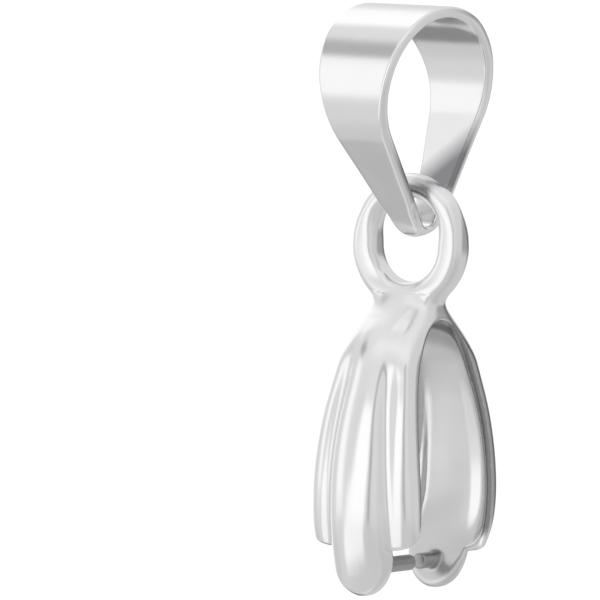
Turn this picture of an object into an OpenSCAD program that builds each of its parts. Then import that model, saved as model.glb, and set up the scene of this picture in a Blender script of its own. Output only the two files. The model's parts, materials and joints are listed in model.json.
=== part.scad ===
// Pendant bail: a folded strap that rides on a chain, and a cast pinch bail that hangs on it.
// X runs along the drop's width, Y from its front (-Y) to its back, Z up.
// The origin is where the chain lies, at the inside top of the strap's loop.

/* [Strap] */
// Height of the folded strap, from its top to its soldered tip
strap_height = 8.75; // [8.5:0.05:9]
// Depth of the loop, front to back, at its widest
strap_depth = 6.3; // [6.1:0.05:6.5]
// Thickness of the strip
strap_wall = 0.42; // [0.36:0.02:0.44]
// Width of the strip over the top of the loop
strap_width = 4.2; // [3.6:0.1:4.6]
// Outer radius of the fold at the tip, seen from the side
tip_radius = 0.8; // [0.74:0.02:0.86]
// How far the strap hangs turned from the drop, about the vertical
strap_turn = -9; // [-9:1:0]
// How far the strap leans back from its loop to its tip
strap_lean = 8.5; // [7:0.5:9]

/* [Ring] */
// Radius of the ring at the middle of its wire
ring_radius = 1.9; // [1.8:0.05:2]
// How much longer than wide the ring is
ring_stretch = 0.33; // [0.2:0.01:0.4]
// Thickness of the ring's wire, seen from the front
ring_wire = 0.92; // [0.8:0.02:0.94]
// Thickness of the ring's wire, front to back
ring_depth = 1.04; // [0.96:0.02:1.06]

/* [Leaves] */
// How far behind the chain the drop hangs, in the leaning strap's fold
drop_set_back = 0.445; // [0.43:0.005:0.46]
// Length of the drop, from the ring's centre to the leaves' tips
drop_length = 13.1; // [12.8:0.05:13.3]
// Half width of a leaf's middle lobe where it leaves the side lobes
lobe_half_width = 1.26; // [1.2:0.01:1.3]
// Where the side lobes end, below the ring's centre
side_lobe_end = 11.4; // [11.2:0.05:11.6]
// Where the rims of a leaf end, below the ring's centre
rim_end = 10.7; // [10.4:0.05:10.9]
// Squareness of a leaf's cross section: 2 is an ellipse, 4 a rounded box
leaf_square = 3.6; // [3:0.1:4.5]

/* [Pins] */
// Diameter of the two pins
pin_diameter = 0.6; // [0.4:0.05:0.8]
// Space between the ends of the pins
pin_gap = 0.6; // [0.6:0.1:1]
// How far behind the drop's middle the space between the pins lies
pin_meet = 0.75; // [0:0.05:0.8]
// Distance from the drop's middle at which a pin starts to flare towards its leaf
flare_start = 2.15; // [2:0.05:2.2]
// Diameter of a pin's flared root
flare_diameter = 0.9; // [0.8:0.05:0.95]
// Distance of the pins below the ring's centre
pin_drop = 12.1; // [12:0.05:12.2]
// How deep a pin is rooted in its leaf's wall
pin_root = 0.15; // [0.1:0.05:0.2]

/* [Hidden] */
$fn = 96;
// How far a cutting outline runs past what it cuts.
over = 1;

// The strap's top lies one wall above the origin.
strap_top = strap_wall;
// Depth below the strap's top at which the ring's wire lies, just clear in the strap's fold.
wire_drop = 6.75;
ring_z = strap_top - wire_drop - ring_radius - ring_stretch / 2;

// Columns of strap_outline: depth below the strap's top, and half width over half strap_width.
DEPTH = 0;
SHARE = 1;
strap_outline = [
    [0.0, 1.000],
    [0.5, 0.978],
    [1.2, 0.910],
    [2.2, 0.820],
    [3.2, 0.722],
    [4.2, 0.632],
    [5.2, 0.545],
    [6.2, 0.450],
    [7.2, 0.375],
    [8.0, 0.320],
];

// Columns of leaf_rows: distance below the ring's centre, half width in X, then distances in Y
// of the rim, the side ribs and the middle rib, then the half width of the middle rib, and how
// far the hollow lies inside the outer face, in X and in Y.
DOWN = 0;
HALF = 1;
RIM = 2;
SIDE = 3;
CREST = 4;
RIB = 5;
WALL_X = 6;
WALL_Y = 7;
leaf_rows = [
    [2.95, 1.46, 0.00, 1.50, 1.60, 0.42, 0.45, 1.50],
    [3.30, 1.52, 0.85, 1.90, 2.04, 0.52, 0.42, 1.00],
    [3.80, 1.58, 1.33, 2.30, 2.48, 0.62, 0.38, 0.66],
    [4.40, 1.67, 1.64, 2.56, 2.81, 0.72, 0.35, 0.50],
    [5.00, 1.77, 1.87, 2.75, 3.05, 0.80, 0.33, 0.43],
    [5.90, 1.92, 2.11, 2.97, 3.34, 0.92, 0.33, 0.38],
    [7.60, 2.16, 2.29, 3.24, 3.67, 1.05, 0.33, 0.34],
    [9.40, 2.30, 2.31, 3.27, 3.78, 1.18, 0.33, 0.33],
    [10.2, 2.33, 2.28, 3.17, 3.73, 1.23, 0.33, 0.34],
    [10.9, 2.25, 2.20, 2.97, 3.58, 1.26, 0.33, 0.36],
    [11.5, 2.02, 2.08, 2.74, 3.38, 1.27, 0.33, 0.40],
    [12.3, 2.00, 1.95, 2.50, 3.06, 1.27, 0.33, 0.44],
    [13.1, 2.00, 1.85, 2.34, 2.70, 1.27, 0.33, 0.46],
];

// Columns of neck_rows: distance below the ring's centre, half width in X, half depth in Y.
neck_rows = [
    [1.95, 1.10, 0.46],
    [2.20, 1.18, 0.66],
    [2.40, 1.28, 0.88],
    [2.62, 1.37, 1.13],
    [2.80, 1.42, 1.34],
];

// Angles across a leaf, from the middle of its middle rib (0) to its rim (90). The steps across
// the middle lobe lie closer towards the notch, where its round tip turns up.
lobe_steps = 6;
side_steps = 11;
notch_angle = atan(lobe_half_width / curve(leaf_rows, HALF, side_lobe_end));
half_angles = concat(
    [for (i = [0 : lobe_steps]) atan(tan(notch_angle) * sin(90 * i / lobe_steps))],
    [for (i = [1 : side_steps]) notch_angle + (90 - notch_angle) * i / side_steps]
);
across = concat([for (i = [len(half_angles) - 1 : -1 : 1]) -half_angles[i]], half_angles);
columns = len(across);

// Rows down a leaf. A power above 1 sets them closer together towards the arch.
steps_down = 22;
row_power = 1.3;
// Powers of the curves of the middle rib's top and of the side lobes' lower corners.
rib_power = 0.75;
corner_power = 1.8;

// A smooth curve through column c of a table whose first column is x.
function place(table, x, i = 0) =
    i >= len(table) - 2 || x < table[i + 1][0] ? i : place(table, x, i + 1);
function slope(table, c, i) =
    let (a = max(i - 1, 0), b = min(i + 1, len(table) - 1))
    (table[b][c] - table[a][c]) / (table[b][0] - table[a][0]);
function curve(table, c, x) =
    let (
        i = place(table, x),
        h = table[i + 1][0] - table[i][0],
        u = (x - table[i][0]) / h
    )
    (2 * u ^ 3 - 3 * u ^ 2 + 1) * table[i][c]
    + (u ^ 3 - 2 * u ^ 2 + u) * h * slope(table, c, i)
    + (3 * u ^ 2 - 2 * u ^ 3) * table[i + 1][c]
    + (u ^ 3 - u ^ 2) * h * slope(table, c, i + 1);

// A point of the rounded box of half widths 1, at an angle from its Y axis.
function box_reach(a) = (abs(sin(a)) ^ leaf_square + abs(cos(a)) ^ leaf_square) ^ (-1 / leaf_square);
// The middle rib's rise across the leaf: 1 on its crest, 0 at its edges.
function rib_rise(t) = abs(t) < 1 ? (1 - t ^ 2) ^ rib_power : 0;

// Points of a leaf's outer and inner face, at angle a and distance s below the ring's centre.
function outer_point(a, s, side) =
    let (
        x = curve(leaf_rows, HALF, s) * box_reach(a) * sin(a),
        rim = curve(leaf_rows, RIM, s),
        flat = rim + (curve(leaf_rows, SIDE, s) - rim) * box_reach(a) * cos(a),
        rise = curve(leaf_rows, CREST, s) - curve(leaf_rows, SIDE, s)
    )
    [x, side * (flat + rise * rib_rise(x / curve(leaf_rows, RIB, s))), ring_z - s];
function inner_point(a, s, side) =
    let (
        wall_x = curve(leaf_rows, WALL_X, s),
        wall_y = curve(leaf_rows, WALL_Y, s),
        x = (curve(leaf_rows, HALF, s) - wall_x) * box_reach(a) * sin(a),
        rim = curve(leaf_rows, RIM, s),
        flat = rim + (curve(leaf_rows, SIDE, s) - wall_y - rim) * box_reach(a) * cos(a),
        rise = curve(leaf_rows, CREST, s) - curve(leaf_rows, SIDE, s)
    )
    [x, side * max(0, flat + rise * rib_rise(x / curve(leaf_rows, RIB, s))), ring_z - s];

// Where the leaf ends at angle a: the middle lobe's round tip, the side lobes, the rims.
function leaf_end(a) =
    let (
        t = tan(min(abs(a), 89)) / tan(notch_angle),
        r = max(0, (abs(a) - notch_angle) / (90 - notch_angle))
    )
    t <= 1
        ? side_lobe_end + (drop_length - side_lobe_end) * sqrt(max(0, 1 - t ^ 2))
        : rim_end + (side_lobe_end - rim_end) * (1 - r ^ corner_power);
leaf_top = leaf_rows[0][DOWN];
function row_at(a, i) = leaf_top + (leaf_end(a) - leaf_top) * (i / steps_down) ^ row_power;

// One row round the neck, along its front from left to right, then back along its rear.
function neck_loop(row) = [
    for (side = [-1, 1], j = side < 0 ? [0 : columns - 1] : [columns - 2 : -1 : 1])
        let (a = across[j])
        [row[1] * box_reach(a) * sin(a), side * row[2] * box_reach(a) * cos(a), ring_z - row[0]]
];

// The cast body is one closed surface: loops round the neck, then the outer and inner faces of
// the front (side 0) and back (side 1) leaf, which share their points under the arch.
loop_size = 2 * columns - 2;
neck_size = len(neck_rows) * loop_size;
face_size = (steps_down + 1) * columns;
function outer_index(side, i, j) =
    i == 0 && side == 1 && (j == 0 || j == columns - 1)
        ? outer_index(0, 0, j)
        : neck_size + side * face_size + i * columns + j;
function inner_index(side, i, j) =
    i == 0 ? neck_size + 2 * face_size + j : neck_size + (2 + side) * face_size + i * columns + j;
function arch_index(j) =
    j < columns ? outer_index(0, 0, j) : outer_index(1, 0, loop_size - j);
function loop_index(k, j) =
    k < len(neck_rows) ? k * loop_size + j % loop_size : arch_index(j % loop_size);

// A quad as two triangles, turned round where flip is true.
function quad(a, b, c, d, flip = false) =
    flip ? [[a, d, c], [a, c, b]] : [[a, b, c], [a, c, d]];
function join(lists) = [for (list = lists, item = list) item];

body_points = concat(
    join([for (row = neck_rows) neck_loop(row)]),
    join([for (side = [-1, 1], i = [0 : steps_down])
        [for (a = across) outer_point(a, row_at(a, i), side)]]),
    join([for (side = [-1, 1], i = [0 : steps_down])
        [for (a = across) i == 0
            ? [inner_point(a, leaf_top, side)[0], 0, ring_z - leaf_top]
            : inner_point(a, row_at(a, i), side)]])
);
last = columns - 1;
body_faces = concat(
    [[for (j = [loop_size - 1 : -1 : 0]) j]],
    join([for (k = [0 : len(neck_rows) - 1], j = [0 : loop_size - 1])
        quad(loop_index(k, j), loop_index(k, j + 1), loop_index(k + 1, j + 1), loop_index(k + 1, j))]),
    join([for (side = [0, 1], i = [0 : steps_down - 1], j = [0 : last - 1])
        quad(outer_index(side, i, j), outer_index(side, i, j + 1),
            outer_index(side, i + 1, j + 1), outer_index(side, i + 1, j), side == 1)]),
    join([for (side = [0, 1], i = [0 : steps_down - 1], j = [0 : last - 1])
        quad(inner_index(side, i, j), inner_index(side, i, j + 1),
            inner_index(side, i + 1, j + 1), inner_index(side, i + 1, j), side == 0)]),
    join([for (side = [0, 1], i = [0 : steps_down - 1], j = [0, last])
        quad(outer_index(side, i, j), inner_index(side, i, j),
            inner_index(side, i + 1, j), outer_index(side, i + 1, j), (side == 1) != (j == 0))]),
    join([for (side = [0, 1], j = [0 : last - 1])
        quad(outer_index(side, steps_down, j), outer_index(side, steps_down, j + 1),
            inner_index(side, steps_down, j + 1), inner_index(side, steps_down, j), side == 1)])
);

// The strap's loop as a block, round at the top and tip, that lies inset from its outer face.
loop_r = strap_depth / 2;
loop_z = strap_top - loop_r;
tip_z = strap_top - strap_height + tip_radius;
leg_angle = asin((loop_r - tip_radius) / (loop_z - tip_z));
module teardrop(inset, width) {
    big = loop_r - inset;
    small = tip_radius - inset;
    rotate([90, 0, 90]) {
        translate([0, loop_z]) cylinder(h = width, r = big, center = true);
        translate([0, tip_z]) cylinder(h = width, r = small, center = true);
        linear_extrude(width, center = true) polygon([
            [big * cos(leg_angle), loop_z - big * sin(leg_angle)],
            [small * cos(leg_angle), tip_z - small * sin(leg_angle)],
            [-small * cos(leg_angle), tip_z - small * sin(leg_angle)],
            [-big * cos(leg_angle), loop_z - big * sin(leg_angle)],
        ]);
    }
}

// Front view of the strap: the tapering sides, and the round tip.
outline_steps = 24;
tip_steps = 12;
outline_end = strap_outline[len(strap_outline) - 1][DEPTH];
outline_side = [
    for (i = [0 : outline_steps])
        let (d = outline_end * i / outline_steps)
        [strap_width / 2 * curve(strap_outline, SHARE, d), strap_top - d]
];
tip_half = outline_side[outline_steps][0];
tip_arc = [
    for (i = [1 : tip_steps - 1])
        let (a = 90 * i / tip_steps)
        [
            tip_half * cos(a),
            strap_top - outline_end - (strap_height - outline_end) * sin(a)
        ]
];
right_side = concat(outline_side, tip_arc);
module strap_front() {
    half = right_side[0][0];
    polygon(concat(
        [[half, strap_top + over]],
        right_side,
        [[0, strap_top - strap_height]],
        [for (i = [len(right_side) - 1 : -1 : 0]) [-right_side[i][0], right_side[i][1]]],
        [[-half, strap_top + over]]
    ));
}

// The folded strip: a teardrop loop cut to its tapering front view, turned and leaning.
module strap_bail() {
    color("gainsboro")
    rotate([0, 0, strap_turn])
    translate([0, 0, loop_z]) rotate([strap_lean, 0, 0]) translate([0, 0, -loop_z])
    intersection() {
        difference() {
            teardrop(0, strap_width + over);
            teardrop(strap_wall, strap_width + 2 * over);
        }
        rotate([90, 0, 0]) linear_extrude(strap_depth + over, center = true) strap_front();
    }
}

// The ring: an oval wire bent to two half circles, with short straight sides between them.
module wire_section() {
    flat = (ring_depth - ring_wire) / 2;
    for (side = [-1, 1]) translate([0, side * flat]) circle(ring_wire / 2);
    square([ring_wire, 2 * flat], center = true);
}
module ring() {
    translate([0, 0, ring_z]) {
        for (end = [0, 1]) mirror([0, 0, end])
            translate([0, 0, ring_stretch / 2]) rotate([90, 0, 0])
                rotate_extrude(angle = 180) translate([ring_radius, 0]) wire_section();
        for (side = [-1, 1]) translate([side * ring_radius, 0, 0])
            linear_extrude(ring_stretch, center = true) wire_section();
    }
}

// One pin, from its free end near the middle to its flared root in its leaf's middle lobe.
module pin(side) {
    free_end = pin_gap / 2 + side * pin_meet;
    root = inner_point(0, pin_drop, 1)[1] + pin_root;
    translate([0, 0, ring_z - pin_drop]) rotate([-side * 90, 0, 0]) {
        translate([0, 0, free_end])
            cylinder(h = root - free_end, d = pin_diameter);
        translate([0, 0, flare_start])
            cylinder(h = root - flare_start, d1 = pin_diameter, d2 = flare_diameter);
    }
}

// The cast drop: ring, neck, two fluted leaves and the two pins, in one piece.
module pinch_bail() {
    color("gainsboro")
    translate([0, drop_set_back, 0]) {
        ring();
        polyhedron(body_points, body_faces, convexity = 6);
        for (side = [-1, 1]) pin(side);
    }
}

strap_bail();
pinch_bail();
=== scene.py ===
"""Looks of a pendant bail: a folded strap that rides on a chain, and the cast pinch bail on it.

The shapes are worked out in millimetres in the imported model's own frame: X along the drop's
width, Y from its front leaf (-Y) to its back leaf, Z up, and the chain's seat at the origin.
"""

import json
import logging
import math
from dataclasses import dataclass, field
from enum import Enum

import bpy
import numpy as np
import openvdb
from mathutils import Matrix, Quaternion, Vector

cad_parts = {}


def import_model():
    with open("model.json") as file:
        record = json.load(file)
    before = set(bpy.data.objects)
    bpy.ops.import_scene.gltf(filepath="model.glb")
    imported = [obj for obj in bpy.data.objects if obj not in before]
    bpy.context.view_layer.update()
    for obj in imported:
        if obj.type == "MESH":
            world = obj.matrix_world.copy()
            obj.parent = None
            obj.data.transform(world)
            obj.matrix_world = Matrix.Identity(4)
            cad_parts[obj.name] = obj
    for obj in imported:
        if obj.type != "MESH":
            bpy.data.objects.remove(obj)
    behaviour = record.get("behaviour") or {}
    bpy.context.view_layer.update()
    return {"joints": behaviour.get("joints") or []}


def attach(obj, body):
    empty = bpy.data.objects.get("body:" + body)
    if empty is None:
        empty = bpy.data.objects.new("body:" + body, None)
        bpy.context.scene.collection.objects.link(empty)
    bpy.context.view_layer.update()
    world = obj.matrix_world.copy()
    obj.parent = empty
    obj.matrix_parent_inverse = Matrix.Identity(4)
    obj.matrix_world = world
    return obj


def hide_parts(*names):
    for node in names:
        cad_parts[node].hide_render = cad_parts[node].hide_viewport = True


log = logging.getLogger("pendant_bail")

MM = 0.001
NEAR_ZERO = 1e-6
Array = np.ndarray
Socket = bpy.types.NodeSocket
Span = tuple[float, float]
Colour = tuple[float, float, float, float]


class Side(Enum):
    """The two leaves of the drop, by the sign of their place along Y."""

    FRONT = -1
    BACK = 1


class Zone(Enum):
    """Attributes that a mesh carries for its finish."""

    # inner faces: rougher and more scratched, and on the drop greyed with painted shade
    INSIDE = "inside"
    # grooves and fillets: rougher, and greyed with patina and painted shade
    HOLLOW = "hollow"
    SATIN = "satin"
    # painted shade and painted dark reflection
    PAINTED_DARK = "painted_dark"


def smooth_step(low: float, high: float, x: Array) -> Array:
    """Rise smoothly from 0 at low to 1 at high.

    Args:
        low: where the rise starts.
        high: where the rise ends.
        x: the values to place between them.

    Returns:
        The rise at each value.
    """
    t = np.clip((x - low) / (high - low), 0.0, 1.0)
    return t * t * (3.0 - 2.0 * t)


def smooth_max(a: Array, b: Array, blend: float) -> Array:
    """Intersect two distance fields with a flowing edge.

    Args:
        a: the first field.
        b: the second field.
        blend: the distance over which one turns into the other.

    Returns:
        The intersection's field.
    """
    h = np.maximum(blend - np.abs(a - b), 0.0) / blend
    return np.maximum(a, b) + h**3 * blend / 6.0


def smooth_min(a: Array, b: Array, blend: float) -> Array:
    """Join two distance fields with a flowing fillet of about the blend's size."""
    return -smooth_max(-a, -b, blend)


def round_max(a: Array, b: Array, radius: float) -> Array:
    """Intersect two distance fields, with their common edge rounded to a radius."""
    corner = np.hypot(np.maximum(a + radius, 0.0), np.maximum(b + radius, 0.0))
    return np.minimum(np.maximum(a, b), -radius) + corner


def superellipse(x: Array, y: Array, half_x: Array, half_y: Array, power: Array, least: float) -> Array:
    """Measure the distance to a squared ellipse round the origin, as its value over its slope.

    Args:
        x: place along its first axis, from 0 up.
        y: place along its second axis, from 0 up.
        half_x: its half size along the first axis.
        half_y: its half size along the second axis.
        power: how square it is, where 2 is a plain ellipse.
        least: the least slope to divide by, which holds the value back far away.

    Returns:
        Signed distances, which are true near the outline.
    """
    p, q = x / half_x, y / half_y
    reach = np.maximum((p**power + q**power) ** (1.0 / power), NEAR_ZERO)
    steep = reach ** (1.0 - power) * np.hypot(p ** (power - 1.0) / half_x, q ** (power - 1.0) / half_y)
    return (reach - 1.0) / np.maximum(steep, least)


class SmoothTable:
    """A natural cubic spline through each column of a short table, over its first column."""

    def __init__(self, rows: list[list[float]]) -> None:
        """Work out the spline's bends.

        Args:
            rows: the table's rows, in the order of their first value.
        """
        table = np.array(rows, float)
        self.knots = table[:, 0]
        self.values = table[:, 1:]
        gaps = np.diff(self.knots)
        count = len(self.knots)
        system = np.eye(count)
        target = np.zeros_like(self.values)
        for i in range(1, count - 1):
            system[i, i - 1:i + 2] = gaps[i - 1], 2.0 * (gaps[i - 1] + gaps[i]), gaps[i]
            rise = np.diff(self.values[i - 1:i + 2], axis=0) / gaps[i - 1:i + 1, None]
            target[i] = 6.0 * (rise[1] - rise[0])
        self.bends = np.linalg.solve(system, target)

    def __call__(self, column: int, x: Array) -> Array:
        """Read a column.

        Args:
            column: the column's number, counted from 0 after the first.
            x: where to read it, held within the table.

        Returns:
            The column's smooth value at each place.
        """
        x = np.clip(x, self.knots[0], self.knots[-1])
        i = np.clip(np.searchsorted(self.knots, x) - 1, 0, len(self.knots) - 2)
        gap = self.knots[i + 1] - self.knots[i]
        a = (self.knots[i + 1] - x) / gap
        b = 1.0 - a
        value, bend = self.values[:, column], self.bends[:, column]
        curve = (a**3 - a) * bend[i] + (b**3 - b) * bend[i + 1]
        return a * value[i] + b * value[i + 1] + curve * gap**2 / 6.0


class Formula:
    """A node socket that is used like a number, so that a node tree reads like a formula."""

    def __init__(self, tree: "TreeWriter", socket: Socket) -> None:
        """Hold a socket and the tree that it belongs to."""
        self.tree = tree
        self.socket = socket

    def __add__(self, other: "Formula | float") -> "Formula":
        """Add."""
        return self.tree.math("ADD", self, other)

    def __sub__(self, other: "Formula | float") -> "Formula":
        """Subtract."""
        return self.tree.math("SUBTRACT", self, other)

    def __rsub__(self, other: float) -> "Formula":
        """Subtract this from a number."""
        return self.tree.math("SUBTRACT", other, self)

    def __mul__(self, other: "Formula | float") -> "Formula":
        """Multiply."""
        return self.tree.math("MULTIPLY", self, other)

    def __truediv__(self, other: "Formula | float") -> "Formula":
        """Divide."""
        return self.tree.math("DIVIDE", self, other)

    def __neg__(self) -> "Formula":
        """Turn the sign round."""
        return self.tree.math("MULTIPLY", self, -1.0)

    __radd__ = __add__
    __rmul__ = __mul__


class TreeWriter:
    """Adds nodes to a node tree of any kind."""

    def __init__(self, tree: bpy.types.NodeTree) -> None:
        """Hold the tree."""
        self.tree = tree

    def node(self, kind: str, inputs: dict | None = None, **settings: object) -> bpy.types.Node:
        """Add a node.

        Args:
            kind: the node's type.
            inputs: values, sockets or formulas for its inputs, by name or number.
            **settings: the node's own properties.

        Returns:
            The new node.
        """
        node = self.tree.nodes.new(kind)
        for name, value in settings.items():
            setattr(node, name, value)
        for key, value in (inputs or {}).items():
            self.feed(node.inputs[key], value)
        return node

    def feed(self, socket: Socket, value: object) -> None:
        """Link or set one input.

        Args:
            socket: the input.
            value: a number, vector or colour to set, or a socket or formula to link.
        """
        if isinstance(value, Formula):
            value = value.socket
        if isinstance(value, bpy.types.NodeSocket):
            self.tree.links.new(value, socket)
        else:
            socket.default_value = value

    def math(self, operation: str, *values: "Formula | float", clamp: bool = False) -> Formula:
        """Add a Math node.

        Args:
            operation: what it does.
            *values: its inputs, in their order.
            clamp: whether its result is held between 0 and 1.

        Returns:
            Its result.
        """
        inputs = dict(enumerate(values))
        node = self.node("ShaderNodeMath", inputs, operation=operation, use_clamp=clamp)
        return Formula(self, node.outputs[0])

    def split(self, vector: object) -> list[Formula]:
        """Split a vector into its X, Y and Z."""
        node = self.node("ShaderNodeSeparateXYZ", {0: vector})
        return [Formula(self, socket) for socket in node.outputs]

    def join(self, x: object, y: object, z: object) -> Socket:
        """Join X, Y and Z into a vector."""
        return self.node("ShaderNodeCombineXYZ", {0: x, 1: y, 2: z}).outputs[0]

    def blend(self, share: Formula, start: object, end: object) -> Socket:
        """Mix two colours, from the start at 0 to the end at 1."""
        return self.node("ShaderNodeMix", {0: share, 6: start, 7: end}, data_type="RGBA").outputs[2]

    def choose(self, test: Formula, no: object, yes: object, kind: str) -> Socket:
        """Pick one of two values by a test that is 0 or 1."""
        inputs = {"Switch": test, "False": no, "True": yes}
        return self.node("GeometryNodeSwitch", inputs, input_type=kind).outputs[0]


def finished_mesh(name: str, mesh: bpy.types.Mesh, body: str, node: str) -> bpy.types.Object:
    """Put a finished mesh on its body in place of its plain solid.

    Args:
        name: the piece's name.
        mesh: its mesh, in metres, in the frame's own place.
        body: the body that it moves with.
        node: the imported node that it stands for.

    Returns:
        The piece's object.
    """
    piece = bpy.data.objects.new(name, mesh)
    bpy.context.scene.collection.objects.link(piece)
    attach(piece, body)
    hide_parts(node)
    return piece


@dataclass(frozen=True)
class PolishedSilver:
    """Hand-polished silver: soft waves, fine scratches, a greyer tone in hollows that is partly patina and
    partly painted shade, painted shade on inner faces, and a dark painted shade and painted reflection.
    """

    name: str
    colour: Colour = (0.93, 0.93, 0.935, 1.0)
    # grey for a random cloud, patina in hollows, and painted shade in hollows and on inner faces
    shade_and_patina_grey: Colour = (0.78, 0.78, 0.785, 1.0)
    # the dark colour of painted shade and painted dark reflection
    painted_dark: Colour = (0.16, 0.16, 0.17, 1.0)
    # painted shade on the inner faces: the share of grey
    inside_painted_shade: float = 0.9
    # patina and painted shade in grooves and fillets: the share of grey
    hollow_patina_and_shade: float = 0.42
    cloud_bloom: float = 0.2
    # how far the painted shade and painted reflection go towards the dark colour
    full_painted_dark: float = 0.85
    roughness: float = 0.15
    inside_roughness: float = 0.34
    satin_roughness: float = 0.24
    hollow_roughness: float = 0.08
    cloud_roughness: float = 0.08
    cloud_size: float = 1.3
    cloud_detail: float = 3.0
    wave_size: float = 2.2
    wave_detail: float = 1.0
    wave_height: float = 0.010
    scratch_size: float = 0.09
    scratch_detail: float = 2.0
    scratch_height: float = 0.0006
    scratch_squeeze: float = 0.12
    inside_scratches: float = 1.5

    def material(self) -> bpy.types.Material:
        """Build the finish.

        Returns:
            The material, which reads the zones that its mesh carries.
        """
        material = bpy.data.materials.new(self.name)
        material.use_nodes = True
        material.node_tree.nodes.clear()
        tree = TreeWriter(material.node_tree)
        place = tree.node("ShaderNodeTexCoord").outputs["Object"]
        zones = {zone: self.zone(tree, zone) for zone in Zone}
        cloud = self.noise(tree, place, self.cloud_size, self.cloud_detail) - 0.5
        inputs = {
            "Base Color": self.tint(tree, zones, cloud),
            "Metallic": 1.0,
            "Roughness": self.rough(zones, cloud),
            "Normal": self.relief(tree, place, zones[Zone.INSIDE]),
        }
        shader = tree.node("ShaderNodeBsdfPrincipled", inputs)
        tree.node("ShaderNodeOutputMaterial", {"Surface": shader.outputs[0]})
        return material

    def zone(self, tree: TreeWriter, zone: Zone) -> Formula:
        """Read one of the mesh's zones."""
        node = tree.node("ShaderNodeAttribute", attribute_name=zone.value)
        return Formula(tree, node.outputs["Fac"])

    def noise(self, tree: TreeWriter, place: object, size: float, detail: float) -> Formula:
        """Read soft noise whose waves are size millimetres long."""
        inputs = {"Vector": place, "Scale": 1.0 / (size * MM), "Detail": detail}
        return Formula(tree, tree.node("ShaderNodeTexNoise", inputs).outputs["Fac"])

    def tint(self, tree: TreeWriter, zones: dict[Zone, Formula], cloud: Formula) -> Socket:
        """Mix the bright metal, a grey for a random cloud, patina and painted shade, and a dark colour for
        painted shade and painted reflection.

        Args:
            tree: the tree to write in.
            zones: the mesh's zones.
            cloud: soft noise on both sides of 0.

        Returns:
            The metal's colour.
        """
        # the grey's share: patina and painted shade in hollows, painted shade on inner faces, and a random
        # cloud
        shade_and_patina_grey = zones[Zone.HOLLOW] * self.hollow_patina_and_shade + zones[Zone.INSIDE] * self.inside_painted_shade
        shade_and_patina_grey = tree.math("ADD", shade_and_patina_grey, cloud * self.cloud_bloom, clamp=True)
        metal = tree.blend(shade_and_patina_grey, self.colour, self.shade_and_patina_grey)
        # painted shade and painted dark reflection, as a dark colour mixed over the metal
        return tree.blend(zones[Zone.PAINTED_DARK] * self.full_painted_dark, metal, self.painted_dark)

    def rough(self, zones: dict[Zone, Formula], cloud: Formula) -> Formula:
        """Add up the roughness of the zones.

        Args:
            zones: the mesh's zones.
            cloud: soft noise on both sides of 0.

        Returns:
            The metal's roughness.
        """
        inside = zones[Zone.INSIDE] * (self.inside_roughness - self.roughness)
        satin = zones[Zone.SATIN] * (self.satin_roughness - self.roughness)
        clouded = inside + cloud * self.cloud_roughness
        return clouded + zones[Zone.HOLLOW] * self.hollow_roughness + satin + self.roughness

    def relief(self, tree: TreeWriter, place: object, inside: Formula) -> Socket:
        """Turn the polishing waves and the fine scratches into a bumped normal.

        Args:
            tree: the tree to write in.
            place: the place on the piece.
            inside: the zone with the deeper scratches.

        Returns:
            The normal.
        """
        waves = self.noise(tree, place, self.wave_size, self.wave_detail) * (self.wave_height * MM)
        inputs = {"Vector": place, "Scale": (1.0, 1.0, self.scratch_squeeze)}
        drawn_out = tree.node("ShaderNodeMapping", inputs).outputs[0]
        scratches = self.noise(tree, drawn_out, self.scratch_size, self.scratch_detail)
        deeper = inside * self.inside_scratches + 1.0
        height = waves + scratches * deeper * (self.scratch_height * MM)
        return tree.node("ShaderNodeBump", {"Height": height, "Distance": 1.0}).outputs[0]


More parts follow.
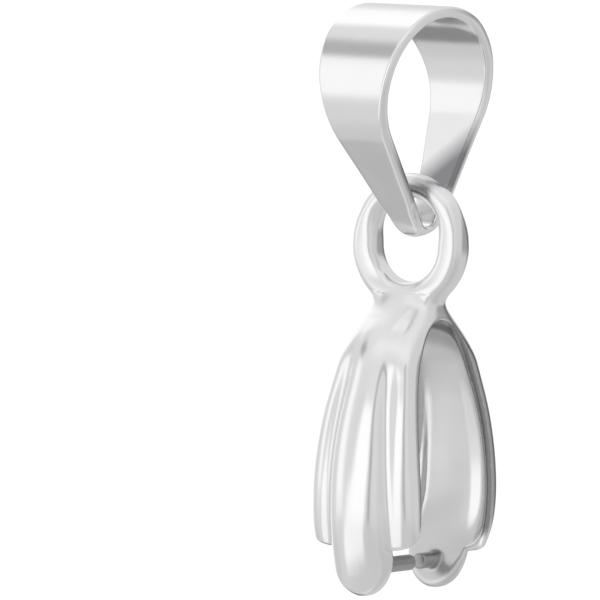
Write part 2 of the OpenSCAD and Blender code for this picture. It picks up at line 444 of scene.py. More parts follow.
@dataclass
class StrapBail:
    """The folded strip: a closed teardrop path, and a width that tapers down to a round tip.

    The four depths of the painted dark reflection on the inner face, a dark wedge in the fold,
    say where it starts, is full, starts to fade and is gone. The slant tilts the first two across
    the strip. The grid's faces turn from the outer one to the inner one at face_turn.
    """

    height: float = 8.75
    depth: float = 6.3
    wall: float = 0.42
    width: float = 4.2
    tip_radius: float = 0.80
    tip_end: float = 0.995
    turn: float = -9.0
    lean: float = 8.5
    edge: float = 0.13
    # painted dark reflection on the inner face near the fold: its depths, and its slant across the strip
    painted_dark: tuple[float, float, float, float] = (5.5, 6.6, 6.9, 7.6)
    painted_dark_slant: float = 0.8
    around: int = 288
    across: int = 44
    face_turn: float = 0.4999
    weld: float = 0.0005
    circle_points: int = 720
    path_points: int = 2000
    finish: PolishedSilver = field(
        default_factory=lambda: PolishedSilver("strap_polish", inside_roughness=0.16, inside_painted_shade=0.0)
    )
    shares: tuple[tuple[float, float], ...] = (
        (0.0, 1.000), (0.5, 0.978), (1.2, 0.910), (2.2, 0.820), (3.2, 0.722),
        (4.2, 0.632), (5.2, 0.545), (6.2, 0.458), (7.2, 0.378), (8.0, 0.290),
    )

    @property
    def top(self) -> float:
        """Height of the strap's top: one wall above the chain."""
        return self.wall

    def build(self) -> bpy.types.Object:
        """Run the strip's node tree and keep its result as a plain mesh.

        Returns:
            The strap's object.
        """
        holder = bpy.data.objects.new("strap_holder", bpy.data.meshes.new("strap_holder"))
        bpy.context.scene.collection.objects.link(holder)
        modifier = holder.modifiers.new("strip", "NODES")
        modifier.node_group = self.tree()
        sizes = self.inputs()
        for item in modifier.node_group.interface.items_tree:
            if item.item_type == "SOCKET" and item.in_out == "INPUT" and item.name in sizes:
                modifier[item.identifier] = sizes[item.name]
        graph = bpy.context.evaluated_depsgraph_get()
        mesh = bpy.data.meshes.new_from_object(holder.evaluated_get(graph))
        holder.modifiers.remove(modifier)
        bpy.data.objects.remove(holder)
        mesh.name = "strap"
        mesh.transform(self.place())
        return finished_mesh("strap", mesh, "strap", "strap_bail")

    def place(self) -> Matrix:
        """Scale the strap to metres, lean it about its loop's centre, and turn it.

        Returns:
            The transform from the strip's own frame.
        """
        middle = Vector((0.0, 0.0, self.top - self.depth / 2.0))
        lean = Matrix.Rotation(math.radians(self.lean), 4, "X")
        turn = Matrix.Rotation(math.radians(self.turn), 4, "Z")
        leaning = Matrix.Translation(middle) @ lean @ Matrix.Translation(-middle)
        return Matrix.Scale(MM, 4) @ turn @ leaning

    def inputs(self) -> dict[str, float]:
        """Name the tree's sizes.

        Returns:
            The sizes by the names of the tree's inputs.
        """
        loop = self.depth / 2.0
        return {
            "Loop radius": loop - self.wall / 2.0,
            "Tip radius": self.tip_radius - self.wall / 2.0,
            "Loop height": self.top - loop,
            "Tip height": self.top - self.height + self.tip_radius,
            "Wall": self.wall,
            "Half width": self.width / 2.0,
            "Edge radius": self.edge,
        }

    def tree(self) -> bpy.types.NodeTree:
        """Write the strip's node tree.

        Returns:
            A tree that bends a flat grid round the teardrop path and gives it thickness.
        """
        group = bpy.data.node_groups.new("folded strip", "GeometryNodeTree")
        group.interface.new_socket("Geometry", in_out="OUTPUT", socket_type="NodeSocketGeometry")
        for name, value in self.inputs().items():
            socket = group.interface.new_socket(name, in_out="INPUT", socket_type="NodeSocketFloat")
            socket.default_value = value
        tree = TreeWriter(group)
        sockets = tree.node("NodeGroupInput").outputs
        size = {name: Formula(tree, sockets[name]) for name in self.inputs()}
        strip = self.strip(tree, size, self.path(tree, size))
        realized = tree.node("GeometryNodeRealizeInstances", {0: strip}).outputs[0]
        inputs = {"Geometry": realized, "Material": self.finish.material()}
        finished = tree.node("GeometryNodeSetMaterial", inputs)
        tree.node("NodeGroupOutput", {0: finished.outputs[0]})
        return group

    def path(self, tree: TreeWriter, size: dict[str, Formula]) -> Socket:
        """Lay the strip's middle line: two arcs, joined by the straight legs between them.

        Args:
            tree: the tree to write in.
            size: the tree's sizes.

        Returns:
            The middle line as a closed curve.
        """
        inputs = {"Resolution": self.circle_points, "Radius": 1.0}
        circle = tree.node("GeometryNodeCurvePrimitiveCircle", inputs)
        x, y, _ = tree.split(tree.node("GeometryNodeInputPosition").outputs[0])
        lean = (size["Loop radius"] - size["Tip radius"]) / (size["Loop height"] - size["Tip height"])
        at_tip = tree.math("LESS_THAN", y, -lean)
        loop = tree.join(0.0, x * size["Loop radius"], y * size["Loop radius"] + size["Loop height"])
        tip = tree.join(0.0, x * size["Tip radius"], y * size["Tip radius"] + size["Tip height"])
        inputs = {"Geometry": circle.outputs[0], "Position": tree.choose(at_tip, loop, tip, "VECTOR")}
        hull = tree.node("GeometryNodeSetPosition", inputs)
        inputs = {"Curve": hull.outputs[0], "Count": self.path_points}
        return tree.node("GeometryNodeResampleCurve", inputs).outputs[0]

    def strip(self, tree: TreeWriter, size: dict[str, Formula], path: Socket) -> Socket:
        """Bend a grid round the path: its X runs round the loop, its Y round the section.

        Args:
            tree: the tree to write in.
            size: the tree's sizes.
            path: the middle line.

        Returns:
            The closed strip, whose points carry its zones.
        """
        rows, columns = self.around + 1, 2 * self.across + 1
        inputs = {"Size X": 1.0, "Size Y": 2.0, "Vertices X": rows, "Vertices Y": columns}
        grid = tree.node("GeometryNodeMeshGrid", inputs)
        u, v, _ = tree.split(tree.node("GeometryNodeInputPosition").outputs[0])
        inputs = {"Curves": path, "Factor": u + 0.5}
        sample = tree.node("GeometryNodeSampleCurve", inputs, mode="FACTOR")
        _, path_y, path_z = tree.split(sample.outputs["Position"])
        _, along_y, along_z = tree.split(sample.outputs["Tangent"])
        inside = tree.math("GREATER_THAN", tree.math("ABSOLUTE", v), self.face_turn)
        outer = 1.0 - inside * 2.0
        reach = outer * size["Wall"] * 0.5
        depth = self.top - (path_z - along_y * reach)
        half = self.half_width(tree, depth) * size["Half width"]
        share = tree.math("SINE", v * math.pi)
        from_edge = half * (1.0 - tree.math("ABSOLUTE", share))
        out = outer * (size["Wall"] * 0.5 - self.edge_drop(tree, size["Edge radius"], from_edge))
        place = tree.join(half * share, path_y + along_z * out, path_z - along_y * out)
        # painted dark reflection: a dark wedge painted on the inner face near the fold
        painted_dark = self.painted_fold_reflection(tree, depth, half * share) * inside
        zoned = self.stored(tree, grid.outputs[0], {Zone.INSIDE: inside, Zone.PAINTED_DARK: painted_dark})
        bent = tree.node("GeometryNodeSetPosition", {"Geometry": zoned, "Position": place})
        inputs = {"Geometry": bent.outputs[0], "Distance": self.weld}
        welded = tree.node("GeometryNodeMergeByDistance", inputs)
        return tree.node("GeometryNodeSetShadeSmooth", {"Geometry": welded.outputs[0]}).outputs[0]

    def edge_drop(self, tree: TreeWriter, radius: Formula, from_edge: Formula) -> Formula:
        """Give how far a face falls away over the strip's rounded edge."""
        corner = tree.math("MAXIMUM", radius - from_edge, 0.0)
        return radius - tree.math("SQRT", radius * radius - corner * corner)

    def painted_fold_reflection(self, tree: TreeWriter, depth: Formula, across: Formula) -> Formula:
        """Tell where the painted dark reflection lies in the fold.

        Args:
            tree: the tree to write in.
            depth: distance below the strap's top.
            across: place across the strip.

        Returns:
            The painted dark reflection's share, from 0 to 1.
        """
        # depths where the painted dark reflection starts, is full, starts to fade and is gone
        start, full, fade_from, bright = self.painted_dark
        slanted = depth + across * self.painted_dark_slant
        painted_fold_reflection = tree.math("DIVIDE", slanted - start, full - start, clamp=True)
        left = tree.math("DIVIDE", bright - depth, bright - fade_from, clamp=True)
        return painted_fold_reflection * left

    def stored(self, tree: TreeWriter, grid: Socket, zones: dict[Zone, Formula]) -> Socket:
        """Keep the zones on the flat grid, before it is bent.

        Args:
            tree: the tree to write in.
            grid: the grid.
            zones: the zones' values.

        Returns:
            The grid with its zones.
        """
        for zone, value in zones.items():
            inputs = {"Geometry": grid, "Name": zone.value, "Value": value}
            grid = tree.node("GeometryNodeStoreNamedAttribute", inputs, data_type="FLOAT").outputs[0]
        return grid

    def half_width(self, tree: TreeWriter, depth: Formula) -> Formula:
        """Read the strip's half width, as a share of the half width at its top.

        Args:
            tree: the tree to write in.
            depth: distance below the strap's top.

        Returns:
            The taper down the legs, and the round tip below them.
        """
        curve = tree.node("ShaderNodeFloatCurve", {"Value": depth / self.height})
        points = curve.mapping.curves[0].points
        places = [(d / self.height, share) for d, share in self.shares]
        for spot in places[1:]:
            points.new(*spot)
        points[0].location = places[0]
        points[-1].location = (1.0, places[-1][1])
        curve.mapping.update()
        end = self.shares[-1][0]
        into_tip = (depth - end) / (self.height - end)
        into_tip = tree.math("MINIMUM", tree.math("MAXIMUM", into_tip, 0.0), self.tip_end)
        return Formula(tree, curve.outputs[0]) * tree.math("SQRT", 1.0 - into_tip * into_tip)


@dataclass(frozen=True)
class CastRing:
    """The drop's oval ring: thin and round where the strap holds it, thicker and squarer below."""

    radius: float = 1.9
    stretch: float = 0.33
    wire: float = 0.92
    depth: float = 1.04
    thick_wire: float = 1.01
    thick_depth: float = 1.10
    squareness: float = 1.1
    swell_span: Span = (-1.2, 0.3)
    least_slope: float = 0.8

    def distance(self, x: Array, y: Array, s: Array) -> Array:
        """Measure the distance to the ring from places given from its own centre.

        Args:
            x: place along the width.
            y: place from front to back.
            s: distance below the ring's centre.

        Returns:
            Signed distances.
        """
        from_path = np.hypot(x, np.maximum(np.abs(s) - self.stretch / 2.0, 0.0)) - self.radius
        swell = smooth_step(*self.swell_span, s)
        wire = self.wire + swell * (self.thick_wire - self.wire)
        depth = self.depth + swell * (self.thick_depth - self.depth)
        power = 2.0 + self.squareness * swell
        return superellipse(np.abs(from_path), np.abs(y), wire / 2.0, depth / 2.0, power, self.least_slope)


@dataclass(frozen=True)
class CastLeaves:
    """The neck and the two fluted leaves, as one bent and hollowed body.

    The table gives, by the distance below the ring's centre, the half width, how far the sides and
    the middle rib stand out, the rib's half width and the wall. A span gives where a change starts
    and where it ends.
    """

    square: float = 3.6
    neck_square: float = 2.9
    square_span: Span = (2.6, 5.0)
    wall: float = 0.33
    side_extra: float = 0.06
    least_wall: float = 0.16
    most_end_wall: float = 0.45
    edge: float = 0.15
    corner: float = 0.34
    groove: float = 0.5
    inner_groove: float = 0.5
    inner_rib_extra: float = 0.3
    inner_rise: float = 0.3
    inner_room: float = 0.1
    inner_blend: float = 0.1
    neck_blend: float = 0.3
    rib_square: float = 2.4
    rib_base: float = 0.25
    rib_base_share: float = 0.6
    rib_base_reach: float = 0.8
    valley_place: float = 0.54
    valley_width: float = 0.32
    valley_depth: float = 0.11
    valley_span: Span = (3.4, 6.5)
    sway: float = 0.24
    sway_span: Span = (9.5, 13.1)
    arch_top: float = 2.95
    arch_wide: float = 8.3
    arch_half: float = 2.34
    arch_close: float = 9.4
    arch_reach: float = 1.0
    flat_span: Span = (-0.4, 1.6)
    lobe_half: float = 1.32
    lobe_fillet: float = 0.08
    side_end: float = 11.4
    rim_end: float = 10.7
    rim_curve: float = 1.8
    back_longer: float = 0.35
    back_span: Span = (-0.5, 0.5)
    tip: float = 13.15
    neck_top: float = 1.95
    least_slope: float = 0.2
    least_side_slope: float = 1e-3
    least_lobe_slope: float = 0.4
    slope_step: float = 0.02
    most_slope: float = 2.0
    table: SmoothTable = field(default_factory=lambda: SmoothTable([
        [1.95, 1.10, 0.46, 0.46, 0.36, 0.46],
        [2.40, 1.32, 0.93, 0.94, 0.36, 0.90],
        [2.95, 1.51, 1.55, 1.65, 0.40, 1.30],
        [3.30, 1.57, 1.93, 2.06, 0.45, 1.00],
        [3.80, 1.63, 2.32, 2.49, 0.52, 0.68],
        [4.40, 1.70, 2.59, 2.82, 0.60, 0.50],
        [5.00, 1.78, 2.75, 3.05, 0.68, 0.43],
        [5.90, 1.93, 2.98, 3.35, 0.79, 0.38],
        [7.60, 2.17, 3.24, 3.67, 0.98, 0.34],
        [9.40, 2.32, 3.27, 3.78, 1.10, 0.33],
        [10.2, 2.33, 3.17, 3.73, 1.14, 0.34],
        [10.9, 2.28, 2.99, 3.58, 1.17, 0.36],
        [11.5, 2.14, 2.78, 3.38, 1.20, 0.40],
        [12.3, 2.00, 2.50, 3.06, 1.20, 0.44],
        [13.1, 2.00, 2.34, 2.70, 1.20, 0.46],
    ]))

    def swayed(self, y: Array, s: Array) -> Array:
        """Undo the drop's slight sway, which carries the lobes towards the front leaf."""
        return y + self.sway * smooth_step(*self.sway_span, s)

    def arch_height(self, s: Array) -> Array:
        """Give how far the arch runs from its widest level to its top, or would run to its close."""
        return np.where(s < self.arch_wide, self.arch_wide - self.arch_top, self.arch_close)

    def arch(self, y: Array, s: Array) -> Array:
        """Measure how far a place lies outside the arch's opening, seen from the side.

        Args:
            y: place from front to back.
            s: distance below the ring's centre.

        Returns:
            Signed distances, below 0 in the opening.
        """
        up = self.arch_height(s)
        p, q = y / self.arch_half, (s - self.arch_wide) / up
        steep = 2.0 * np.hypot(p / self.arch_half, q / up)
        past = (p * p + q * q - 1.0) / np.maximum(steep, self.least_slope)
        return np.clip(past, -self.arch_reach, self.arch_reach)

    def straight(self, s: Array) -> Array:
        """Give how far the straight sides of a section run from the middle.

        Args:
            s: distance below the ring's centre.

        Returns:
            The arch's half width, faded in below its top.
        """
        q = (s - self.arch_wide) / self.arch_height(s)
        rim = self.arch_half * np.sqrt(np.maximum(1.0 - q * q, 0.0))
        start, end = self.flat_span
        return rim * smooth_step(self.arch_top + start, self.arch_top + end, s)

    def section(self, x: Array, y: Array, s: Array, inner: bool) -> Array:
        """Measure the distance to the outer skin or the inner face within one level section.

        Args:
            x: place along the width, from 0 up.
            y: place from front to back, from 0 up.
            s: distance below the ring's centre.
            inner: whether the inner face is meant.

        Returns:
            Signed distances.
        """
        half, side, crest, rib, wall = (self.table(column, s) for column in range(5))
        flat = self.straight(s)
        if inner:
            half, rib = half - np.minimum(wall, self.most_end_wall), rib + self.inner_rib_extra
            side, crest = side - wall - self.side_extra, side - wall + (crest - side) * self.inner_rise
            flat = np.minimum(flat, side - self.inner_room)
        deep = side - flat
        past = np.maximum(y - flat, 0.0)
        power = self.neck_square + (self.square - self.neck_square) * smooth_step(*self.square_span, s)
        box = superellipse(x, past, half, deep, power, self.least_side_slope)
        if not inner:
            off = (x / half - self.valley_place) * half / self.valley_width
            valley = self.valley_depth * smooth_step(*self.valley_span, s) * np.exp(-off * off)
            box = box + valley * (past / deep)
        base = np.minimum(self.rib_base, self.rib_base_share * deep)
        rise = crest - side + base
        wide = rib / np.sqrt(1.0 - np.minimum(base / rise, self.rib_base_reach) ** 2)
        ridge = superellipse(x, np.abs(y - side + base), wide, rise, self.rib_square, self.least_slope)
        return smooth_min(box, ridge, self.inner_groove if inner else self.groove)

    def skin(self, x: Array, y: Array, s: Array, inner: bool = False) -> Array:
        """Measure the distance to the outer skin or the inner face, allowing for its slope.

        Args:
            x: place along the width, from 0 up.
            y: place from front to back, from 0 up.
            s: distance below the ring's centre.
            inner: whether the inner face is meant.

        Returns:
            Signed distances.
        """
        step = self.slope_step
        here = self.section(x, y, s, inner)
        change = self.section(x, y, s + step, inner) - self.section(x, y, s - step, inner)
        slope = np.clip(change / (2.0 * step), -self.most_slope, self.most_slope)
        return here / np.sqrt(1.0 + slope**2)

    def outline(self, x: Array, y: Array, s: Array, longer: Array) -> Array:
        """Measure how far a place lies past the leaf's lower outline.

        Args:
            x: place along the width, from 0 up.
            y: place from front to back, from 0 up.
            s: distance below the ring's centre.
            longer: how much longer the side lobes are here.

        Returns:
            Signed distances, below 0 on the leaf.
        """
        half, side = self.table(0, s), self.table(1, s)
        flat = self.straight(s)
        turn = np.arctan2(x / half, np.maximum(y - flat, 0.0) / (side - flat))
        notch = math.atan(self.lobe_half / float(self.table(0, np.array(self.side_end))))
        share = np.clip((turn - notch) / (math.pi / 2.0 - notch), 0.0, 1.0)
        side_past = s - longer - self.side_end + (self.side_end - self.rim_end) * share**self.rim_curve
        long = self.tip - self.side_end
        p, q = x / self.lobe_half, np.maximum(s - self.side_end, 0.0) / long
        reach = np.maximum(np.hypot(p, q), NEAR_ZERO)
        steep = np.hypot(p / self.lobe_half, q / long) / reach
        lobe_past = (reach - 1.0) / np.maximum(steep, self.least_lobe_slope)
        return smooth_min(side_past, lobe_past, self.lobe_fillet)

    def distance(self, x: Array, y: Array, s: Array) -> Array:
        """Measure the distance to the leaves and the neck.

        Args:
            x: place along the width, as its distance from the middle.
            y: place from front to back.
            s: distance below the ring's centre.

        Returns:
            Signed distances.
        """
        longer = self.back_longer * smooth_step(*self.back_span, y)
        y = np.abs(y)
        skin = self.skin(x, y, s)
        hollow = smooth_max(self.skin(x, y, s, inner=True), skin + self.least_wall, self.inner_blend)
        hollow = smooth_max(hollow, self.arch_top - s, self.neck_blend)
        shell = np.maximum(skin, -hollow)
        cut = round_max(-self.arch(y, s), self.outline(x, y, s, longer), self.corner)
        leaves = round_max(shell, cut, self.edge)
        return smooth_max(leaves, self.neck_top - s, self.neck_blend)


@dataclass(frozen=True)
class CastPins:
    """The two pins for a drilled stone, which face each other across the gap."""

    diameter: float = 0.6
    gap: float = 0.6
    meet: float = 0.75
    drop: float = 12.1
    root: float = 2.85
    root_shift: float = 0.2
    end_round: float = 0.07

    def distance(self, x: Array, y: Array, s: Array, side: Side) -> Array:
        """Measure the distance to the pin of one leaf.

        Args:
            x: place along the width.
            y: place from front to back.
            s: distance below the ring's centre.
            side: the leaf that carries the pin.

        Returns:
            Signed distances.
        """
        along = y * side.value
        free_end = self.gap / 2.0 + side.value * self.meet
        barrel = np.hypot(x, s - self.drop) - self.diameter / 2.0
        ends = np.maximum(free_end - along, along - self.root + side.value * self.root_shift)
        return round_max(barrel, ends, self.end_round)


@dataclass
class PinchBail:
    """The cast drop: the ring, its neck, two fluted leaves and their pins, in one piece.

    A span gives where a zone starts to fade in or out and where that ends.
    """

    ring_z: float
    set_back: float
    ring: CastRing = field(default_factory=CastRing)
    leaves: CastLeaves = field(default_factory=CastLeaves)
    pins: CastPins = field(default_factory=CastPins)
    finish: PolishedSilver = field(default_factory=lambda: PolishedSilver("drop_polish"))
    neck_fillet: float = 0.80
    pin_fillet: float = 0.30
    # painted shade on the pins between the leaves: how dark, and how far from them it fades
    pin_painted_shade: float = 0.65
    pin_span: Span = (0.02, 0.12)
    # painted dark reflection on the arch's cut faces: how dark, how far in from the cut, and where along
    # the arch it starts and stops
    rim_painted_reflection: float = 0.95
    rim_span: Span = (0.07, 0.18)
    rim_start: Span = (2.7, 3.2)
    rim_stop: Span = (10.7, 11.3)
    inside_start: Span = (2.7, 3.3)
    inside_span: Span = (0.70, 1.0)
    satin_span: Span = (2.6, 4.0)
    hollow_reach: float = 0.18
    hollow_power: float = 0.7
    half_wide: float = 2.6
    half_deep: float = 3.9
    margin: float = 0.25
    voxel: float = 0.07
    rough_voxel: float = 0.11
    rounds: int = 4
    ease: float = 0.6
    least_slope: float = 0.05
    longest_step: float = 0.1
    slope_step: float = 0.01

    def distance(self, places: Array) -> Array:
        """Measure the distance to the whole drop.

        Args:
            places: points in millimetres, X, Y and Z along the last axis.

        Returns:
            Signed distances, below 0 inside the metal.
        """
        x, y, s = self.local(places)
        body = self.leaves.distance(x, self.leaves.swayed(y, s), s)
        body = smooth_min(body, self.ring.distance(x, y, s), self.neck_fillet)
        for side in Side:
            body = smooth_min(body, self.pins.distance(x, y, s, side), self.pin_fillet)
        return body

    def local(self, places: Array) -> tuple[Array, Array, Array]:
        """Give each place's distance from the middle in X, place in Y, and depth below the ring."""
        return np.abs(places[..., 0]), places[..., 1] - self.set_back, self.ring_z - places[..., 2]

    def slope(self, places: Array) -> Array:
        """Measure the distance field's gradient.

        Args:
            places: points in millimetres, X, Y and Z along the last axis.

        Returns:
            The gradient at each of them.
        """
        out = np.zeros_like(places)
        for axis in range(3):
            shift = np.zeros(3)
            shift[axis] = self.slope_step
            out[..., axis] = self.distance(places + shift) - self.distance(places - shift)
        return out / (2.0 * self.slope_step)

    def surface(self) -> tuple[Array, Array]:
        """Mesh the surface where the distance is 0.

        Returns:
            The points in millimetres, and the quads that join them.
        """
        pitch = self.voxel
        reach = self.ring.radius + (self.ring.stretch + self.ring.wire) / 2.0
        front, back = self.set_back - self.half_deep, self.set_back + self.half_deep
        low = np.array([-self.half_wide, front, self.ring_z - self.leaves.tip]) - self.margin
        high = np.array([self.half_wide, back, self.ring_z + reach]) + self.margin
        axes = [np.arange(a, b, pitch) for a, b in zip(low, high)]
        distances = np.empty([len(axis) for axis in axes], np.float32)
        plane_y, plane_z = np.meshgrid(axes[1], axes[2], indexing="ij")
        for i, x in enumerate(axes[0]):
            plane = np.stack([np.full_like(plane_y, x), plane_y, plane_z], axis=-1)
            distances[i] = self.distance(plane)
        grid = openvdb.FloatGrid()
        grid.background = 1.0
        grid.copyFromArray(np.clip(distances, -grid.background, grid.background))
        points, quads = grid.convertToQuads(isovalue=0.0)
        return points.astype(float) * pitch + low, quads.astype(int)

    def settle(self, points: Array, quads: Array) -> Array:
        """Even out the points over the surface, and bring them exactly onto it.

        Args:
            points: the points in millimetres.
            quads: the quads that join them.

        Returns:
            The settled points.
        """
        edges = np.concatenate([quads[:, [0, 1]], quads[:, [1, 2]], quads[:, [2, 3]], quads[:, [3, 0]]])
        start, end = np.concatenate([edges, edges[:, ::-1]]).T
        count = np.bincount(start, minlength=len(points))[:, None]
        for _ in range(self.rounds - 1):
            total = [np.bincount(start, points[end, axis], len(points)) for axis in range(3)]
            points = points + (np.stack(total, axis=1) / count - points) * self.ease
            points = self.snapped(self.snapped(points))
        return self.snapped(self.snapped(points))

    def snapped(self, points: Array) -> Array:
        """Step along the gradient to where the distance is 0.

        Args:
            points: points in millimetres, close to the surface.

        Returns:
            The same points, closer to it.
        """
        gradient = self.slope(points)
        length = np.maximum(np.einsum("ij,ij->i", gradient, gradient), self.least_slope)
        step = np.clip(self.distance(points) / length, -self.longest_step, self.longest_step)
        return points - gradient * step[:, None]

    def build(self) -> bpy.types.Object:
        """Mesh the drop, give it true normals and zones, and put it on its body.

        Returns:
            The drop's object.
        """
        points, quads = self.surface()
        points = self.settle(points, quads)
        mesh = bpy.data.meshes.new("drop")
        mesh.from_pydata((points * MM).tolist(), [], quads.tolist())
        mesh.shade_smooth()
        normals = self.slope(points)
        normals /= np.linalg.norm(normals, axis=1, keepdims=True)
        mesh.normals_split_custom_set_from_vertices(normals.tolist())
        # inner faces: more roughness and scratches, and painted shade as a greyer colour
        self.store(mesh, Zone.INSIDE, self.inside(points))
        # grooves and fillets: more roughness, and patina and painted shade as a greyer colour
        self.store(mesh, Zone.HOLLOW, self.hollow(points, normals))
        self.store(mesh, Zone.SATIN, 1.0 - smooth_step(*self.satin_span, self.ring_z - points[:, 2]))
        # painted shade on the pins, and painted dark reflection on the arch's cut faces
        self.store(mesh, Zone.PAINTED_DARK, np.maximum(self.on_pins(points), self.on_rims(points)))
        mesh.materials.append(self.finish.material())
        return finished_mesh("drop", mesh, "drop", "pinch_bail")

    def store(self, mesh: bpy.types.Mesh, zone: Zone, values: Array) -> None:
        """Keep a zone on the mesh's points."""
        attribute = mesh.attributes.new(zone.value, "FLOAT", "POINT")
        attribute.data.foreach_set("value", values.astype(np.float32))

    def on_pins(self, points: Array) -> Array:
        """Mark the pins, which sit in the shade between the leaves, for painted shade.

        Args:
            points: the mesh's points in millimetres.

        Returns:
            Their painted shade.
        """
        x, y, s = self.local(points)
        away = np.minimum(*(self.pins.distance(x, y, s, side) for side in Side))
        return self.pin_painted_shade * (1.0 - smooth_step(*self.pin_span, away))

    def on_rims(self, points: Array) -> Array:
        """Tell the narrow cut faces along the arch from the rest, for a painted dark reflection.

        Args:
            points: the mesh's points in millimetres.

        Returns:
            Their painted dark reflection.
        """
        _, y, s = self.local(points)
        into = self.leaves.arch(np.abs(self.leaves.swayed(y, s)), s)
        along = smooth_step(*self.rim_start, s) * (1.0 - smooth_step(*self.rim_stop, s))
        return self.rim_painted_reflection * (1.0 - smooth_step(*self.rim_span, into)) * along

    def inside(self, points: Array) -> Array:
        """Tell the leaves' inner faces, at 1, from the outer skin, at 0.

        Args:
            points: the mesh's points in millimetres.

        Returns:
            How far each of them is on an inner face.
        """
        x, y, s = self.local(points)
        deep = -self.leaves.skin(x, np.abs(y), s) / self.leaves.wall
        return smooth_step(*self.inside_span, deep) * smooth_step(*self.inside_start, s)

    def hollow(self, points: Array, normals: Array) -> Array:
        """Tell how deep in a groove or fillet each point lies, from 0 to 1, for the patina and painted
        shade there.
        """
        ahead = self.distance(points + normals * self.hollow_reach)
        return np.clip((self.hollow_reach - ahead) / self.hollow_reach, 0.0, 1.0) ** self.hollow_power


@dataclass(frozen=True)
class Panel:
    """A soft-edged patch of the tent that is brighter or darker than the cloth round it.

    Angles are in degrees: azimuth counts from -Y towards +X, and elevation upwards.
    """

    light: float
    azimuth: float
    half_width: float
    soft: float
    low: float
    high: float
    slant: float = 0.0

    def glow(self, tree: TreeWriter, azimuth: Formula, elevation: Formula) -> Formula:
        """Write how much the patch adds to the light from one direction.

        Args:
            tree: the tree to write in.
            azimuth: the direction's azimuth in degrees.
            elevation: its elevation in degrees.

        Returns:
            The light to add, below 0 for a dark patch.
        """
        middle = elevation * self.slant + self.azimuth
        off = tree.math("ABSOLUTE", tree.math("WRAP", azimuth - middle, 180.0, -180.0))
        across = self.fall(tree, off, self.half_width)
        middle, half = (self.low + self.high) / 2.0, (self.high - self.low) / 2.0
        along = self.fall(tree, tree.math("ABSOLUTE", elevation - middle), half)
        return across * along * self.light

    def fall(self, tree: TreeWriter, off: Formula, half: float) -> Formula:
        """Fall smoothly from 1 to 0 over the soft edge of the patch.

        Args:
            tree: the tree to write in.
            off: the angle from the patch's middle.
            half: the patch's half angle, at the middle of the soft edge.

        Returns:
            The share of the patch's light.
        """
        inputs = {0: off, 1: half - self.soft / 2.0, 2: half + self.soft / 2.0, 3: 1.0, 4: 0.0}
        node = tree.node("ShaderNodeMapRange", inputs, interpolation_type="SMOOTHSTEP")
        return Formula(tree, node.outputs[0])


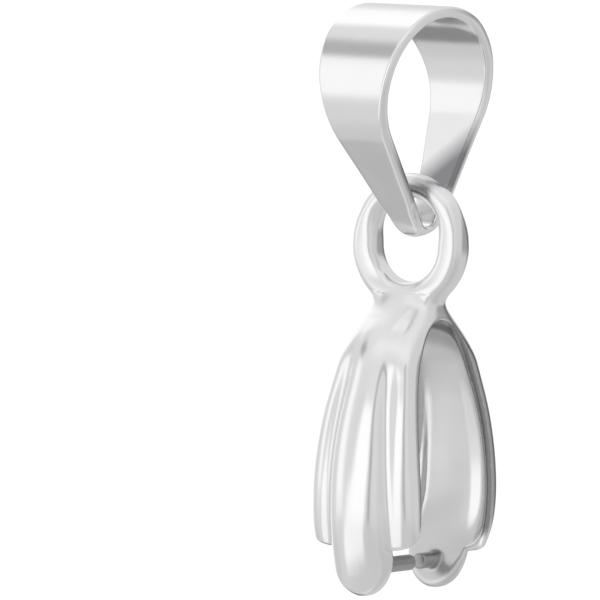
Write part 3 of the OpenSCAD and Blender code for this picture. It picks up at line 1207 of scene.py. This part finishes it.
@dataclass
class Studio:
    """A pale floor, soft light from a white tent with dark gaps, and the camera."""

    azimuth: float = 33.9
    elevation: float = 3.6
    roll: float = 1.3
    distance: float = 300.0
    pixels_per_mm: float = 26.85
    frame_pixels: float = 600.0
    origin_pixel: tuple[float, float] = (409.6, 15.8)
    floor_z: float = -24.5
    floor_half: float = 4000.0
    floor_colour: Colour = (0.9, 0.9, 0.9, 1.0)
    floor_roughness: float = 0.7
    clip: Span = (0.01, 20.0)
    cloth: float = 0.72
    cloth_colour: Colour = (1.0, 1.0, 1.0, 1.0)
    soft_light: float = 1.2
    panels: tuple[Panel, ...] = (
        Panel(light=0.36, azimuth=-12.0, half_width=20.0, soft=8.0, low=-34.0, high=26.0, slant=0.65),
        Panel(light=-0.30, azimuth=21.0, half_width=5.0, soft=6.0, low=-14.0, high=40.0, slant=0.45),
        Panel(light=0.32, azimuth=-122.0, half_width=17.0, soft=14.0, low=-18.0, high=55.0),
        Panel(light=0.22, azimuth=-56.0, half_width=11.0, soft=10.0, low=-8.0, high=30.0),
        Panel(light=0.08, azimuth=-57.0, half_width=15.0, soft=20.0, low=-37.0, high=24.0),
        Panel(light=-0.28, azimuth=-70.0, half_width=13.0, soft=6.0, low=30.0, high=43.0),
        Panel(light=-0.36, azimuth=-109.0, half_width=20.0, soft=12.0, low=-60.0, high=-36.0),
        Panel(light=0.12, azimuth=-40.0, half_width=36.0, soft=14.0, low=-80.0, high=-50.0),
        Panel(light=0.08, azimuth=14.0, half_width=62.0, soft=20.0, low=33.0, high=66.0),
        Panel(light=-0.06, azimuth=98.0, half_width=38.0, soft=16.0, low=-90.0, high=50.0),
        Panel(light=-0.40, azimuth=158.0, half_width=23.0, soft=12.0, low=-9.0, high=18.0),
        Panel(light=-0.24, azimuth=176.0, half_width=15.0, soft=10.0, low=-16.0, high=18.0),
        Panel(light=-0.10, azimuth=0.0, half_width=200.0, soft=16.0, low=-90.0, high=-14.0),
        Panel(light=0.08, azimuth=0.0, half_width=200.0, soft=20.0, low=47.0, high=90.0),
    )

    def camera(self) -> None:
        """Set the camera at the photograph's angle, so that the chain's seat meets its pixel."""
        data = bpy.data.cameras.new("camera")
        data.lens = data.sensor_width * self.distance * self.pixels_per_mm / self.frame_pixels
        data.clip_start, data.clip_end = self.clip
        a, e = math.radians(self.azimuth), math.radians(self.elevation)
        back = Vector((math.sin(a) * math.cos(e), -math.cos(a) * math.cos(e), math.sin(e)))
        turn = back.to_track_quat("Z", "Y") @ Quaternion((0.0, 0.0, 1.0), math.radians(self.roll))
        right, up = turn @ Vector((1.0, 0.0, 0.0)), turn @ Vector((0.0, 1.0, 0.0))
        middle = self.frame_pixels / 2.0
        aim = right * (middle - self.origin_pixel[0]) + up * (self.origin_pixel[1] - middle)
        camera = bpy.data.objects.new("camera", data)
        camera.location = (aim / self.pixels_per_mm + back * self.distance) * MM
        camera.rotation_mode = "QUATERNION"
        camera.rotation_quaternion = turn
        bpy.context.scene.collection.objects.link(camera)
        bpy.context.scene.camera = camera

    def floor(self) -> None:
        """Lay the plain pale floor, which the polished metal doesn't mirror."""
        half, z = self.floor_half * MM, self.floor_z * MM
        mesh = bpy.data.meshes.new("floor")
        corners = [(-half, -half, z), (half, -half, z), (half, half, z), (-half, half, z)]
        mesh.from_pydata(corners, [], [(0, 1, 2, 3)])
        material = bpy.data.materials.new("floor_paint")
        material.use_nodes = True
        shader = material.node_tree.nodes["Principled BSDF"]
        shader.inputs["Base Color"].default_value = self.floor_colour
        shader.inputs["Roughness"].default_value = self.floor_roughness
        mesh.materials.append(material)
        floor = bpy.data.objects.new("floor", mesh)
        floor.visible_glossy = False
        bpy.context.scene.collection.objects.link(floor)

    def tent(self) -> None:
        """Light the scene from all round, with the tent's dark gaps where polished metal sees them."""
        world = bpy.data.worlds.new("tent")
        world.use_nodes = True
        world.node_tree.nodes.clear()
        tree = TreeWriter(world.node_tree)
        x, y, z = tree.split(tree.node("ShaderNodeTexCoord").outputs["Generated"])
        azimuth = tree.math("ARCTAN2", x, -y) * (180.0 / math.pi)
        elevation = tree.math("ARCSINE", z) * (180.0 / math.pi)
        light = self.cloth
        for panel in self.panels:
            light = panel.glow(tree, azimuth, elevation) + light
        rays = tree.node("ShaderNodeLightPath").outputs
        glossy = Formula(tree, rays["Is Glossy Ray"])
        strength = glossy * light + (1.0 - glossy) * self.soft_light
        inputs = {"Color": self.cloth_colour, "Strength": strength}
        background = tree.node("ShaderNodeBackground", inputs)
        tree.node("ShaderNodeOutputWorld", {"Surface": background.outputs[0]})
        bpy.context.scene.world = world

    def build(self) -> None:
        """Set the camera, the floor, the light and the look of the picture."""
        self.camera()
        self.floor()
        self.tent()
        bpy.context.scene.view_settings.view_transform = "Standard"


def main() -> None:
    """Build the studio and both pieces, and report their face counts."""
    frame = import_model()
    Studio().build()
    ring = CastRing()
    _, wire_y, wire_z = (place / MM for place in frame["joints"][0]["pos_m"])
    ring_z = wire_z - ring.radius - ring.stretch / 2.0
    for part in (StrapBail(), PinchBail(ring_z=ring_z, set_back=wire_y, ring=ring)):
        piece = part.build()
        log.info("%s: %d faces", piece.name, len(piece.data.polygons))


if __name__ == "__main__":
    logging.basicConfig(level=logging.INFO, format="%(message)s")
    main()
